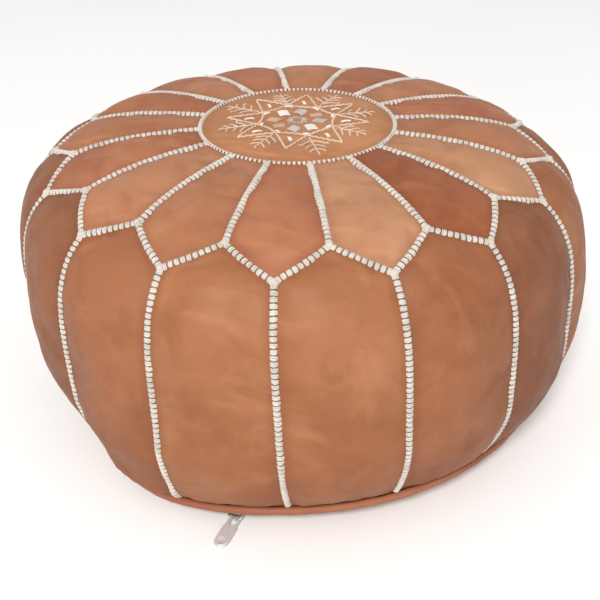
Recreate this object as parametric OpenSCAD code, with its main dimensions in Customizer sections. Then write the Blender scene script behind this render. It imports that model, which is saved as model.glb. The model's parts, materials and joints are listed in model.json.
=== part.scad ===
// Round leather pouf: sixteen top petals and sixteen side panels sewn around an
// embroidered medallion, a two-part base with a zip, and a stuffed core.
// Millimetres. The origin is on the floor under the centre, +Z is up, the zip's
// closed end faces -Y and the zip runs back along +Y.

/* [Overall] */
// Diameter at the widest level
pouf_d = 550; // [520:1:570]
// Overall height of the leather, without the embroidery
pouf_h = 288; // [275:1:300]
// Height of the widest level
widest_z = 98; // [92:1:110]
// Roundness of the shoulder across the radius
shoulder_p = 3.3; // [3:0.1:3.6]
// Roundness of the shoulder up the height
shoulder_q = 4.5; // [4.2:0.1:4.8]

/* [Leather] */
// Thickness of the leather
leather_t = 1.8; // [1.2:0.1:2.2]
// Radius of the round medallion on top
medallion_r = 93; // [85:1:100]
// Radius where the seams between the petals end
petal_end_r = 212; // [205:1:216]
// Radius where the seams between the side panels end
side_top_r = 240; // [234:1:244]

/* [Rim and base] */
// Radius of the lower edge of the side panels
rim_r = 246; // [244:0.5:248]
// Height of the lower edge of the side panels
rim_z = 22; // [21.9:0.1:24]
// Thickness of the piping
piping_d = 9; // [8:0.5:9]
// Radius of the part of the base that lies flat
base_flat_r = 205; // [200:1:210]

/* [Stitching] */
// Width of the sewn bands on the long seams
seam_w = 7; // [5:0.5:8]
// Width of the sewn ring round the medallion
ring_w = 4; // [3:0.5:5]
// Height of the thread above the leather
thread_h = 2; // [1.5:0.1:2.5]
// Height of the embroidery above the leather
embroidery_h = 1.2; // [0.8:0.1:1.6]
// Width of the embroidered lines
line_w = 2.6; // [2:0.1:3.2]

/* [Zip] */
// Distance from the centre to the closed end of the zip
zip_front = 251; // [250.5:0.1:252]
// Distance from the centre to the open end of the zip
zip_back = 150; // [120:6:156]
// Distance from one tooth to the next
tooth_pitch = 3; // [3:0.5:5]
// Height of the middle of the teeth
tooth_z = 8.4; // [8.4:0.1:8.8]
// Length of the slider's body
slider_l = 21.6; // [20:0.2:24]
// Length of the pull tab from its pivot to its tip
tab_l = 35.6; // [30:0.2:35.8]
// Width of the pull tab
tab_w = 13; // [9:0.5:13]

/* [Hidden] */
function two_digits(i) = str(i < 10 ? "0" : "", i);
PANELS = 16;
$fn = 96;

step = 360 / PANELS;
front = -90;                  // direction of the first petal seam, over the zip
gap_angle = 0.03;             // half the angle left free between two panels
gap = 0.1;                    // clearance between leather, thread and stuffing
widest_r = pouf_d / 2;
dome_h = pouf_h - widest_z;
skirt_h = widest_z - rim_z;
skirt_n = 1.7;                // how late the side tucks in towards the rim
base_edge_r = rim_r - 3.5;
base_edge_z = 11.5;
piping_r = rim_r - 0.5;
piping_z = rim_z - piping_d / 2 - 0.5;
shoulder_steps = 14;
skirt_steps = 6;

leather = [0.72, 0.42, 0.25];
thread = [0.90, 0.86, 0.77];
metal = [0.72, 0.72, 0.73];
cloth = [0.28, 0.19, 0.13];

// ---- the outline of the pouf, as points and outward normals -----------------

// angle on the shoulder at which the outline has radius r
function shoulder_angle(r) = asin(pow(r / widest_r, shoulder_p / 2));

function shoulder_point(a) = [
    widest_r * pow(sin(a), 2 / shoulder_p),
    widest_z + dome_h * pow(cos(a), 2 / shoulder_q)
];

function shoulder_normal(a) =
    let (
        p = shoulder_point(a),
        nr = shoulder_p / widest_r * pow(p[0] / widest_r, shoulder_p - 1),
        nz = shoulder_q / dome_h * pow((p[1] - widest_z) / dome_h, shoulder_q - 1)
    )
    [nr, nz] / norm([nr, nz]);

// s is 0 at the widest level and 1 at the rim
function skirt_point(s) = [
    rim_r + (widest_r - rim_r) * (1 - pow(s, skirt_n)),
    widest_z - s * skirt_h
];

function skirt_normal(s) =
    let (slope = (widest_r - rim_r) * skirt_n * pow(s, skirt_n - 1) / skirt_h)
    [1, -slope] / norm([1, -slope]);

// outline moved outwards by d, from shoulder angle a1 to a2
function shoulder_line(a1, a2, d) = [
    for (i = [0:shoulder_steps])
        let (a = a1 + (a2 - a1) * i / shoulder_steps)
        shoulder_point(a) + d * shoulder_normal(a)
];

// the same below the widest level, from s = s1 to s2
function skirt_line(s1, s2, d) = [
    for (i = [0:skirt_steps])
        let (s = s1 + (s2 - s1) * i / skirt_steps)
        skirt_point(s) + d * skirt_normal(s)
];

function backwards(line) = [for (i = [len(line) - 1:-1:0]) line[i]];
function tail(line) = [for (i = [1:len(line) - 1]) line[i]];
function polar(r, a) = [r * cos(a), r * sin(a)];

// outline from shoulder angle a1 down over the widest level to s = s2
function side_line(a1, s2, d) = concat(
    shoulder_line(a1, 90, d),
    tail(skirt_line(0, s2, d))
);

module shoulder_band(a1, a2, d1, d2) {
    polygon(concat(shoulder_line(a1, a2, d2), backwards(shoulder_line(a1, a2, d1))));
}

module side_band(a1, s2, d1, d2) {
    polygon(concat(side_line(a1, s2, d2), backwards(side_line(a1, s2, d1))));
}

// ---- leather ------------------------------------------------------------------

module medallion() {
    color(leather)
    rotate_extrude()
    shoulder_band(0, shoulder_angle(medallion_r - gap), -leather_t, 0);
}

// petal i lies between petal seams i - 1 and i
module petal(i) {
    color(leather)
    rotate([0, 0, front + step * (i - 1)])
    intersection() {
        rotate([0, 0, gap_angle])
        rotate_extrude(angle = step - 2 * gap_angle)
        shoulder_band(shoulder_angle(medallion_r), shoulder_angle(side_top_r + 5), -leather_t, 0);
        linear_extrude(pouf_h + 10)
        polygon([
            [0, 0],
            polar(petal_end_r - gap, 0),
            polar(side_top_r - gap, step / 2),
            polar(petal_end_r - gap, step)
        ]);
    }
}

// side panel i stands under petal seam i - 1
module side_panel(i) {
    color(leather * 0.93)
    rotate([0, 0, front + step * (i - 1.5)])
    difference() {
        rotate([0, 0, gap_angle])
        rotate_extrude(angle = step - 2 * gap_angle)
        side_band(shoulder_angle(petal_end_r), 1, -leather_t, 0);
        linear_extrude(pouf_h + 10)
        polygon([
            [0, 0],
            polar(side_top_r + gap, -step / 2) * 0.9,
            polar(side_top_r + gap, 0),
            polar(petal_end_r + gap, step / 2),
            polar(side_top_r + gap, step),
            polar(side_top_r + gap, step * 1.5) * 0.9
        ]);
    }
}

module rim_piping() {
    color(leather * 0.85)
    rotate_extrude()
    translate([piping_r, piping_z])
    circle(d = piping_d);
}

base_steps = 6;
slot_w = 21;
slot_past = 16;               // how far the slot runs on behind the zip's open end
function base_rise(r) = base_edge_z * pow((r - base_flat_r) / (base_edge_r - base_flat_r), 2);
function base_line(d) = [
    for (i = [0:base_steps])
        let (r = base_flat_r + (base_edge_r - base_flat_r) * i / base_steps)
        [r, base_rise(r) + d]
];

// side is 1 for the half at +X and -1 for the half at -X
module base_half(side) {
    color(leather * 0.8)
    difference() {
        rotate([0, 0, side > 0 ? -90 : 90])
        rotate_extrude(angle = 180)
        polygon(concat(
            [[gap, 0]],
            base_line(0),
            backwards(base_line(leather_t)),
            [[gap, leather_t]]
        ));
        translate([-slot_w / 2, -300, -1])
        cube([slot_w, 300 + zip_back + slot_past, 40]);
        translate([-gap, -300, -1])
        cube([2 * gap, 600, 40]);
    }
}

// ---- thread --------------------------------------------------------------------

// the sewn bands follow the outline: cross-section in the plane of the seam, width across it
module meridian_band(w) {
    rotate([90, 0, 0])
    linear_extrude(w, center = true)
    children();
}

module medallion_seam_thread() {
    color(thread)
    rotate_extrude()
    shoulder_band(
        shoulder_angle(medallion_r - ring_w / 2),
        shoulder_angle(medallion_r + ring_w / 2),
        gap, thread_h
    );
}

module petal_seam_threads() {
    color(thread)
    for (k = [0:PANELS - 1])
        rotate([0, 0, front + k * step])
        meridian_band(seam_w)
        shoulder_band(
            shoulder_angle(medallion_r + ring_w / 2 + 1),
            shoulder_angle(petal_end_r),
            gap, thread_h
        );
}

module side_seam_threads() {
    color(thread)
    for (k = [0:PANELS - 1])
        rotate([0, 0, front + (k + 0.5) * step])
        meridian_band(seam_w)
        side_band(shoulder_angle(side_top_r), 0.985, gap, thread_h);
}

// one straight stretch of the zigzag from point p to point q in plan, clear of both ends
module zigzag_stretch(p, q) {
    clear = seam_w * 0.9;
    along = q - p;
    translate(p)
    rotate([0, 0, atan2(along[1], along[0])])
    translate([clear, -seam_w / 2, 0])
    cube([norm(along) - 2 * clear, seam_w, pouf_h + 20]);
}

module zigzag_seam_threads() {
    color(thread)
    for (k = [0:PANELS - 1])
        rotate([0, 0, front + k * step])
        intersection() {
            rotate([0, 0, -step / 2])
            rotate_extrude(angle = step)
            shoulder_band(
                shoulder_angle(petal_end_r - 8), shoulder_angle(side_top_r + 8), gap, thread_h
            );
            union() {
                zigzag_stretch(polar(petal_end_r, 0), polar(side_top_r, step / 2));
                zigzag_stretch(polar(petal_end_r, 0), polar(side_top_r, -step / 2));
            }
        }
}

// ---- embroidery ----------------------------------------------------------------

star_r = medallion_r * 0.73;
feather_r = medallion_r * 0.86;
rosette_r = medallion_r * 0.25;
ARMS = 8;

// outline of one of the star's two squares
module star_square() {
    side = star_r * sqrt(2);
    difference() {
        square(side, center = true);
        square(side - 2 * line_w, center = true);
    }
}

// stem with three pairs of slanted barbs
module feather() {
    foot = medallion_r * 0.60;
    translate([foot, -line_w / 3])
    square([feather_r - foot, line_w / 1.5]);
    for (i = [0:2])
        for (turn = [-1, 1])
            translate([foot + (feather_r - foot) * (0.25 + 0.25 * i), 0])
            rotate(turn * 50)
            translate([0, -line_w / 3])
            square([medallion_r * (0.13 - 0.02 * i), line_w / 1.5]);
}

// pointed petal of the centre rosette
module rosette_petal() {
    polygon([
        [rosette_r * 0.25, 0],
        [rosette_r * 0.65, -rosette_r * 0.22],
        [rosette_r, 0],
        [rosette_r * 0.65, rosette_r * 0.22]
    ]);
}

module embroidery_pattern() {
    for (turn = [0, 45])
        rotate(turn)
        star_square();
    for (i = [0:ARMS - 1])
        rotate(i * 360 / ARMS) {
            rotate(180 / ARMS)
            feather();
            rosette_petal();
        }
    circle(r = rosette_r * 0.3);
}

module medallion_embroidery() {
    color(thread)
    intersection() {
        rotate_extrude()
        shoulder_band(0, shoulder_angle(feather_r + 2), gap / 2, embroidery_h);
        rotate(front + step / 3)
        linear_extrude(pouf_h + 10)
        embroidery_pattern();
    }
}

// ---- stuffing -------------------------------------------------------------------

groove_w = 48;
groove_z = 14;

module stuffing() {
    inside = -leather_t - gap * 2;
    color("ivory")
    difference() {
        rotate_extrude()
        polygon(concat(
            [[0, 2.2], [0, pouf_h + inside]],
            tail(shoulder_line(0, 90, inside)),
            tail(skirt_line(0, 0.98, inside)),
            [[base_edge_r - 6.5, rim_z - 7], [base_flat_r, 2.2]]
        ));
        translate([-groove_w / 2, -300, -1])
        cube([groove_w, 300 + zip_back + slot_past + 10, groove_z + 1]);
    }
}

// ---- zip ------------------------------------------------------------------------

tooth_w = 2.7;                // from the middle of the chain outwards
tooth_h = 2.8;
tooth_in = 0.7;               // half the slit between the two rows
tape_t = 0.8;
tape_in = tooth_in + tooth_w;
tape_out = 22;
tape_low = leather_t + gap;
shell = 1.3;                  // wall of the slider
play = 0.35;                  // clearance inside the slider
slider_w = 13;
slider_y = -zip_front + 1.8;  // front end of the slider with the zip closed
slider_low = tooth_z - tooth_h / 2 - play - shell;
slider_high = tooth_z + tooth_h / 2 + play + shell;
bridge_w = 2.6;
bridge_drop = 3.8;            // how far the bridge stands below the slider
bridge_y = slider_y - 1.3;
bridge_l = 10.3;
bridge_t = 1.3;
pivot_y = bridge_y + 3;
pivot_z = slider_low - 1.25;
tab_t = 1.8;
tab_tilt = 3.6;               // the closed tab slopes down to the floor by this angle
tab_slot_w = 4.6;
tab_slot_l = 8.6;

// half of the tape's section, at +X
module tape_section(flange) {
    slope_out = 11.5;
    slope_in = 6.8;
    low = tooth_z - tape_t / 2;
    if (flange)
        polygon([
            [tape_in, low],
            [slope_in - 0.3, low],
            [slope_out - 0.4, tape_low],
            [tape_out, tape_low],
            [tape_out, tape_low + tape_t],
            [slope_out, tape_low + tape_t],
            [slope_in, low + tape_t],
            [tape_in, low + tape_t]
        ]);
    else
        translate([tape_in, low])
        square([slope_in - 0.3 - tape_in, tape_t]);
}

// an extrusion of an XZ section from y = y1 to y = y2
module along_y(y1, y2) {
    translate([0, y2, 0])
    rotate([90, 0, 0])
    linear_extrude(y2 - y1)
    children();
}

module zip_tape() {
    color(cloth) {
        along_y(-zip_front - 1, -base_flat_r + 2)
        tape_section(false);
        along_y(-base_flat_r + 1, zip_back + slot_past + 4)
        tape_section(true);
    }
}

module zip_tape_right() {
    zip_tape();
}

module zip_tape_left() {
    mirror([1, 0, 0])
    zip_tape();
}

module tooth_row(first) {
    color(metal)
    for (y = [first:tooth_pitch:zip_back - tooth_pitch])
        translate([tooth_in, y, tooth_z - tooth_h / 2])
        cube([tooth_w, tooth_pitch * 0.55, tooth_h]);
}

module zip_teeth_right() {
    tooth_row(-zip_front + 3.5);
}

module zip_teeth_left() {
    mirror([1, 0, 0])
    tooth_row(-zip_front + 3.5 + tooth_pitch / 2);
}

module zip_top_stops() {
    color(metal)
    for (side = [0, 1])
        mirror([side, 0, 0])
        translate([tooth_in - 0.2, -zip_front - 0.4, tooth_z - tooth_h / 2 - 0.2])
        cube([tooth_w + 0.2, 1.9, tooth_h + 0.4]);
}

module zip_bottom_stop() {
    color(metal)
    translate([-tape_in, zip_back, tooth_z - tooth_h / 2 - 0.3])
    cube([2 * tape_in, 3.5, tooth_h + 0.6]);
}

module slider_side() {
    lip = 0.9;                // how far each lip closes in towards the tape
    for (z = [slider_low, slider_high - shell - lip])
        translate([slider_w / 2 - shell, slider_y, z])
        cube([shell, slider_l, shell + lip]);
}

module slider_bridge() {
    low = slider_low - bridge_drop;
    translate([-bridge_w / 2, bridge_y, low])
    cube([bridge_w, bridge_l, bridge_t]);
    translate([-bridge_w / 2, bridge_y, low])
    cube([bridge_w, bridge_t, bridge_drop + shell]);
    translate([-bridge_w / 2, bridge_y + bridge_l - bridge_t, low])
    cube([bridge_w, bridge_t, bridge_drop + shell]);
    translate([-bridge_w / 2, bridge_y, slider_low])
    cube([bridge_w, 3, shell]);
}

module zip_slider() {
    web = 0.8;
    color(metal) {
        for (z = [slider_low, slider_high - shell])
            translate([-slider_w / 2, slider_y, z])
            cube([slider_w, slider_l, shell]);
        slider_side();
        mirror([1, 0, 0])
        slider_side();
        translate([-web / 2, slider_y, slider_low])
        cube([web, 7, slider_high - slider_low]);
        slider_bridge();
    }
}

// the tab lies along -Y from its pivot, with its eye round the slider's bridge
module zip_pull_tab() {
    round_r = tab_w / 2;
    color(metal)
    translate([0, pivot_y, pivot_z])
    rotate([tab_tilt, 0, 0]) {
        rotate([0, 90, 0])
        cylinder(h = tab_w - 1, d = tab_t, center = true);
        translate([0, 0, -tab_t / 2])
        linear_extrude(tab_t)
        difference() {
            union() {
                translate([0, -tab_l + round_r])
                circle(r = round_r);
                translate([-round_r, -tab_l + round_r])
                square([tab_w, tab_l - round_r - 5]);
                translate([-round_r + 0.5, -6])
                square([tab_w - 1, 6]);
            }
            translate([-tab_slot_w / 2, -tab_slot_l])
            square([tab_slot_w, tab_slot_l + 1]);
        }
        translate([0, -tab_l + round_r, 0])
        cylinder(h = tab_t / 2 + 0.5, r = round_r - 1.2);
    }
}

// ---- one solid for each name ------------------------------------------------------

medallion();
for (i = [1:PANELS])
    petal(i);
for (i = [1:PANELS])
    side_panel(i);
base_half(-1);  // base_left
base_half(1);  // base_right
rim_piping();
medallion_seam_thread();
petal_seam_threads();
zigzag_seam_threads();
side_seam_threads();
medallion_embroidery();
stuffing();
zip_tape_left();
zip_tape_right();
zip_teeth_left();
zip_teeth_right();
zip_top_stops();
zip_bottom_stop();
zip_slider();
zip_pull_tab();
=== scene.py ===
"""The looks of a round leather pouf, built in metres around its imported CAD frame."""
import json
import math

import bpy
import numpy as np
from mathutils import Matrix, Vector


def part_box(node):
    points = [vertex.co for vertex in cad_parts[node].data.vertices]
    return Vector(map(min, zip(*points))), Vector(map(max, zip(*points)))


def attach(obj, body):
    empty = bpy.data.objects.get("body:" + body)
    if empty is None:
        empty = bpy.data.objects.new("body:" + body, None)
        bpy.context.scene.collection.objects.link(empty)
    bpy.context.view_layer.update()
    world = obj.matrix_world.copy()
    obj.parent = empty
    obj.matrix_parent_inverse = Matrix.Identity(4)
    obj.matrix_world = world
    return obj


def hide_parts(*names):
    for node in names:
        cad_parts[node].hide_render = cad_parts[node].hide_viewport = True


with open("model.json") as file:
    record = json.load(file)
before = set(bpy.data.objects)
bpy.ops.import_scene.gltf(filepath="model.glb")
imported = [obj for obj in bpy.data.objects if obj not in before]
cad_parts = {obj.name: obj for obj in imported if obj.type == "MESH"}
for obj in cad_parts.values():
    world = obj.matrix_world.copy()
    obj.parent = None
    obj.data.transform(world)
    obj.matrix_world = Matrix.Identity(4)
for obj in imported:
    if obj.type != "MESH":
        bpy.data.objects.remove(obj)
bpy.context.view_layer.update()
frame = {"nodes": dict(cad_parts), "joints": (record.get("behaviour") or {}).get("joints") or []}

MM = 0.001
RNG = np.random.default_rng(7)
RANDOM_TURN = 6.28  # a random angle lies between 0 and this
SIDES = ((-1, "left"), (1, "right"))


# ---- driving sizes, read from the frame ----

def node_points(node):
    """A CAD node's vertices as an array."""
    return np.array([v.co for v in frame["nodes"][node].data.vertices])


def node_radii(node):
    """Smallest and largest distance of a CAD node's vertices from the Z axis."""
    points = node_points(node)
    radii = np.hypot(points[:, 0], points[:, 1])
    return radii.min(), radii.max()


PANELS = 16
STEP = 2 * math.pi / PANELS
FRONT = -math.pi / 2  # direction of petal seam 0, above the zip's end
side_points = node_points("side_panel_05")
POUF_R = side_points[:, 0].max()
WIDEST_Z = side_points[side_points[:, 0].argmax(), 2]
POUF_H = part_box("medallion")[1].z
RIM_Z = side_points[:, 2].min()
RIM_R = side_points[side_points[:, 2] < RIM_Z + 0.1 * MM, 0].max()
MEDALLION_R = node_radii("medallion")[1]
PETAL_END_R = node_radii("side_panel_05")[0]
SIDE_TOP_R = node_radii("petal_05")[1]
SHOULDER_P = 3.3  # roundness of the shoulder, as in the CAD outline
SHOULDER_Q = 4.5
SKIRT_N = 1.7

SEAM_SINK = 2.5 * MM  # how far the sewn lines lie below the CAD outline
SEAM_W = 5.9 * MM
RING_W = 3.7 * MM
LEATHER_T = 1.6 * MM
LEAN = 8 * MM  # how far the top leans to the left
SAG = 10 * MM  # how far the filling has sunk at the left edge
LIFT_Z = 14 * MM  # below this height the shape blends into the flat base
DIP = 5 * MM  # how far the middle of the top has sunk
BULGES = (  # direction in degrees, height share, width in degrees, reach, amount in mm, rise
    (-105, 0.0, 14, 0.18, 13, 0.0),
    (180, 0.88, 26, 0.18, 6, 0.6),
    (-20, 0.0, 22, 0.30, -3, 0.0),
    (-165, 0.0, 20, 0.035, -18, 0.0),
    (-114, 0.04, 12, 0.028, 6, -0.7),
    (-135, 0.10, 18, 0.12, -8, 0.0),
)


# ---- outline of the pouf ----

def make_outline():
    """Radius, height and arc length of the outline from the pole to the rim."""
    a = np.linspace(0, math.pi / 2, 600)
    r_top = POUF_R * np.sin(a) ** (2 / SHOULDER_P)
    z_top = WIDEST_Z + (POUF_H - WIDEST_Z) * np.cos(a) ** (2 / SHOULDER_Q)
    s = np.linspace(0, 1, 200)[1:]
    r_low = RIM_R + (POUF_R - RIM_R) * (1 - s ** SKIRT_N)
    z_low = WIDEST_Z - s * (WIDEST_Z - RIM_Z)
    r = np.concatenate([r_top, r_low])
    z = np.concatenate([z_top, z_low])
    arc = np.concatenate([[0], np.cumsum(np.hypot(np.diff(r), np.diff(z)))])
    return r, z, arc


OUT_R, OUT_Z, OUT_ARC = make_outline()
RIM_ARC = OUT_ARC[-1]


def arc_at(radius):
    """Arc length at which the upper part of the outline has this radius."""
    widest = OUT_R.argmax()
    return np.interp(radius, OUT_R[:widest + 1], OUT_ARC[:widest + 1])


def on_circle(r, theta, z):
    """Points at radius r, angle theta and height z, any of which may be arrays."""
    return np.stack(np.broadcast_arrays(r * np.cos(theta), r * np.sin(theta), z), -1)


def on_outline(arc, theta, lift=0.0):
    """Points on the outline turned to theta, lifted along the normal, and the normals."""
    arc, theta = np.broadcast_arrays(np.asarray(arc, float), np.asarray(theta, float))
    r, z = np.interp(arc, OUT_ARC, OUT_R), np.interp(arc, OUT_ARC, OUT_Z)
    near = 2 * MM
    before, after = np.clip(arc - near, 0, RIM_ARC), np.clip(arc + near, 0, RIM_ARC)
    dr = np.interp(after, OUT_ARC, OUT_R) - np.interp(before, OUT_ARC, OUT_R)
    dz = np.interp(after, OUT_ARC, OUT_Z) - np.interp(before, OUT_ARC, OUT_Z)
    length = np.hypot(dr, dz)
    nr, nz = -dz / length, dr / length
    return on_circle(r + lift * nr, theta, z + lift * nz), on_circle(nr, theta, nz)


def zigzag_radius(t):
    """Radius of the zigzag seam, t running from a petal seam (0) to a side seam (1)."""
    half = STEP / 2
    phi = t * half
    straight = (
        PETAL_END_R * SIDE_TOP_R * math.sin(half)
        / (PETAL_END_R * np.sin(phi) + SIDE_TOP_R * np.sin(half - phi))
    )
    bow = 2.5 * MM
    return straight + bow * np.sin(math.pi * t)


def unit(v):
    """Vectors along the last axis, made one long."""
    return v / np.maximum(np.linalg.norm(v, axis=-1, keepdims=True), 1e-12)


def run_length(points, axis=0):
    """Distance along lines of points, from 0 at their first point."""
    steps = np.linalg.norm(np.diff(points, axis=axis), axis=-1)
    return np.concatenate([np.zeros_like(steps.take([0], axis)), np.cumsum(steps, axis)], axis)


def eased(x):
    """A smooth step from 0 at x = 0 to 1 at x = 1."""
    x = np.clip(x, 0, 1)
    return x ** 2 * (3 - 2 * x)


def full_turn(count):
    """Evenly spaced angles of one full turn."""
    return np.linspace(0, 2 * math.pi, count, endpoint=False)


def rounded(x):
    """A quarter circle from 0 at x = 0 to 1 at x = 1, and 1 beyond."""
    return np.sqrt(1 - (1 - np.clip(x, 0, 1)) ** 2)


def settle(points):
    """The used pouf's shape: leaning, sunk on one side and in the middle, and bulging in places."""
    points = np.array(points, float)
    radius = np.hypot(points[..., 0], points[..., 1])
    theta = np.arctan2(points[..., 1], points[..., 0])
    height = np.clip((points[..., 2] - RIM_Z) / (POUF_H - RIM_Z), 0, 1)
    off_floor = np.clip(points[..., 2] / LIFT_Z, 0, 1)
    drop = SAG * points[..., 0] / POUF_R * (1 - height) * off_floor
    drop = drop - DIP * np.exp(-(radius / (0.6 * POUF_R)) ** 2) * height
    for direction, level, width, reach, amount, rise in BULGES:
        outward = np.stack([np.cos(theta), np.sin(theta), rise + 0 * theta], -1)
        turn = np.angle(np.exp(1j * (theta - math.radians(direction)))) / math.radians(width)
        weight = np.exp(-0.5 * turn ** 2 - 0.5 * ((height - level) / reach) ** 2)
        weight = weight * off_floor * np.clip(radius / POUF_R * 2 - 1, 0, 1)
        points = points + outward * (amount * MM * weight)[..., None]
    points[..., 0] -= LEAN * height
    points[..., 2] += drop
    return points


def lumps(points, wavelength, seed):
    """Smooth uneven values between about -1 and 1, from a few waves in random directions."""
    rng = np.random.default_rng(seed)
    total = 0
    for _ in range(7):
        direction = rng.normal(size=3)
        direction *= 2 * math.pi / (wavelength * rng.uniform(0.7, 1.6) * np.linalg.norm(direction))
        total = total + np.sin(points @ direction + rng.uniform(0, RANDOM_TURN))
    return total / 3.5


# ---- meshes ----

def grid_faces(rows, cols, wrap=False):
    """Quads of a grid of rows x cols points, joined round the columns if wrap."""
    i, j = np.meshgrid(np.arange(rows - 1), np.arange(cols if wrap else cols - 1), indexing="ij")
    k = (j + 1) % cols
    return np.stack([i * cols + j, (i + 1) * cols + j, (i + 1) * cols + k, i * cols + k], -1).reshape(-1, 4)


def new_mesh(name, points, faces, material=None, uv=None, smooth=True):
    """A mesh object from arrays of points and faces."""
    mesh = bpy.data.meshes.new(name)
    mesh.from_pydata(np.asarray(points).reshape(-1, 3).tolist(), [], [list(f) for f in faces])
    if smooth:
        mesh.polygons.foreach_set("use_smooth", [True] * len(mesh.polygons))
    if uv is not None:
        index = np.zeros(len(mesh.loops), int)
        mesh.loops.foreach_get("vertex_index", index)
        layer = mesh.uv_layers.new(name="UVMap")
        layer.data.foreach_set("uv", np.asarray(uv, np.float32)[index].ravel())
    mesh.update()
    obj = bpy.data.objects.new(name, mesh)
    bpy.context.scene.collection.objects.link(obj)
    if material:
        mesh.materials.append(material)
    return obj


def point_attribute(obj, name, values):
    """Stores one number per vertex on the mesh."""
    attribute = obj.data.attributes.new(name, "FLOAT", "POINT")
    attribute.data.foreach_set("value", np.asarray(values, np.float32).ravel())


def subdivide(obj):
    """Adds one level of subdivision."""
    smooth = obj.modifiers.new("smooth", "SUBSURF")
    smooth.levels = smooth.render_levels = 1
    return smooth


def thicken(obj, thickness=LEATHER_T, offset=-1):
    """Gives a sheet its thickness, inwards unless offset says otherwise."""
    thick = obj.modifiers.new("thickness", "SOLIDIFY")
    thick.thickness = thickness
    thick.offset = offset


def declare(obj, node=None, body="cover"):
    """Hides the CAD node that the piece stands for, if any, and hangs the piece on the body it rides on."""
    if node:
        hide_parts(node)
    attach(obj, body)


def thread_piece(name, paths, across, half_wide, half_high, material, node=None):
    """Closed tubes along the paths as one piece on the settled cover."""
    points, faces, uv = tube_mesh(paths, across, half_wide, half_high)
    declare(new_mesh(name, settle(points), faces, material, uv), node)


def tube_mesh(paths, across, half_wide, half_high, sides=6):
    """Closed tubes along paths (n, m, 3); across (n, 3) is the direction of their flat width."""
    n, m, _ = paths.shape
    tangent = unit(np.gradient(paths, axis=1))
    wide = np.broadcast_to(across[:, None, :], paths.shape)
    wide = unit(wide - (wide * tangent).sum(-1, keepdims=True) * tangent)
    high = np.cross(tangent, wide)
    angle = np.arange(sides) * 2 * math.pi / sides
    ring = (
        paths[:, :, None, :]
        + half_wide * np.cos(angle)[:, None] * wide[:, :, None, :]
        + half_high * np.sin(angle)[:, None] * high[:, :, None, :]
    )
    quads = grid_faces(m, sides, wrap=True)
    start = (np.arange(n) * m * sides)[:, None, None]
    faces = (start + quads[None]).reshape(-1, 4).tolist()
    first, last = np.arange(sides)[::-1], (m - 1) * sides + np.arange(sides)
    for k in range(n):
        faces.append((k * m * sides + first).tolist())
        faces.append((k * m * sides + last).tolist())
    millimetres = run_length(paths, 1)[:, :, None] / MM
    round_tube = np.abs(1 - np.arange(sides) * 2 / sides)
    uv = np.stack(np.broadcast_arrays(millimetres, round_tube), -1).reshape(-1, 2)
    return ring.reshape(-1, 3), faces, uv


# ---- materials ----

class Nodes:
    """Short ways of adding shader nodes to one material."""

    def __init__(self, name):
        self.material = bpy.data.materials.new(name)
        self.material.use_nodes = True
        self.tree = self.material.node_tree
        self.shader = self.tree.nodes["Principled BSDF"]

    def feed(self, socket, value):
        """Links an output to the socket, or sets a plain value on it."""
        if isinstance(value, bpy.types.NodeSocket):
            self.tree.links.new(value, socket)
        else:
            socket.default_value = value

    def add(self, kind, inputs=(), **settings):
        node = self.tree.nodes.new(kind)
        for key, value in settings.items():
            setattr(node, key, value)
        for key, value in dict(inputs).items():
            self.feed(node.inputs[key], value)
        return node

    def link(self, source, socket):
        self.tree.links.new(source, self.shader.inputs[socket])

    def noise(self, vector, scale, detail=3.0, rough=0.5, distort=0.0):
        inputs = {"Vector": vector, "Scale": scale, "Detail": detail, "Roughness": rough}
        inputs["Distortion"] = distort
        return self.add("ShaderNodeTexNoise", inputs).outputs["Fac"]

    def ramp(self, value, low, high, to_low=0.0, to_high=1.0):
        inputs = {"Value": value, "From Min": low, "From Max": high, "To Min": to_low, "To Max": to_high}
        return self.add("ShaderNodeMapRange", inputs, interpolation_type="SMOOTHSTEP").outputs["Result"]

    def mix(self, factor, a, b):
        node = self.add("ShaderNodeMix", data_type="RGBA")
        for key, value in (("Factor", factor), ("A", a), ("B", b)):
            self.feed([s for s in node.inputs if s.name == key and s.enabled][0], value)
        return [s for s in node.outputs if s.enabled][0]

    def math(self, operation, a, b):
        return self.add("ShaderNodeMath", {0: a, 1: b}, operation=operation).outputs[0]

    def bump(self, height, strength, distance, normal=None):
        inputs = {"Height": height, "Strength": strength, "Distance": distance}
        if normal is not None:
            inputs["Normal"] = normal
        return self.add("ShaderNodeBump", inputs).outputs["Normal"]

    def place(self, offset=(0, 0, 0), turn=(0, 0, 0), scale=(1, 1, 1)):
        coords = self.add("ShaderNodeTexCoord").outputs["Object"]
        inputs = {"Vector": coords, "Location": offset, "Rotation": turn, "Scale": scale}
        return self.add("ShaderNodeMapping", inputs).outputs["Vector"]

    def attribute(self, name):
        return self.add("ShaderNodeAttribute", attribute_name=name).outputs["Fac"]


def rgb(r, g, b):
    """A display colour (0 to 255) as linear RGBA."""
    def linear(c):
        c = c / 255
        return c / 12.92 if c <= 0.04045 else ((c + 0.055) / 1.055) ** 2.4
    return (linear(r), linear(g), linear(b), 1.0)


def shaded(colour, share):
    """The colour with its brightness times share."""
    return tuple(c * share for c in colour[:3]) + (1.0,)


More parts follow.
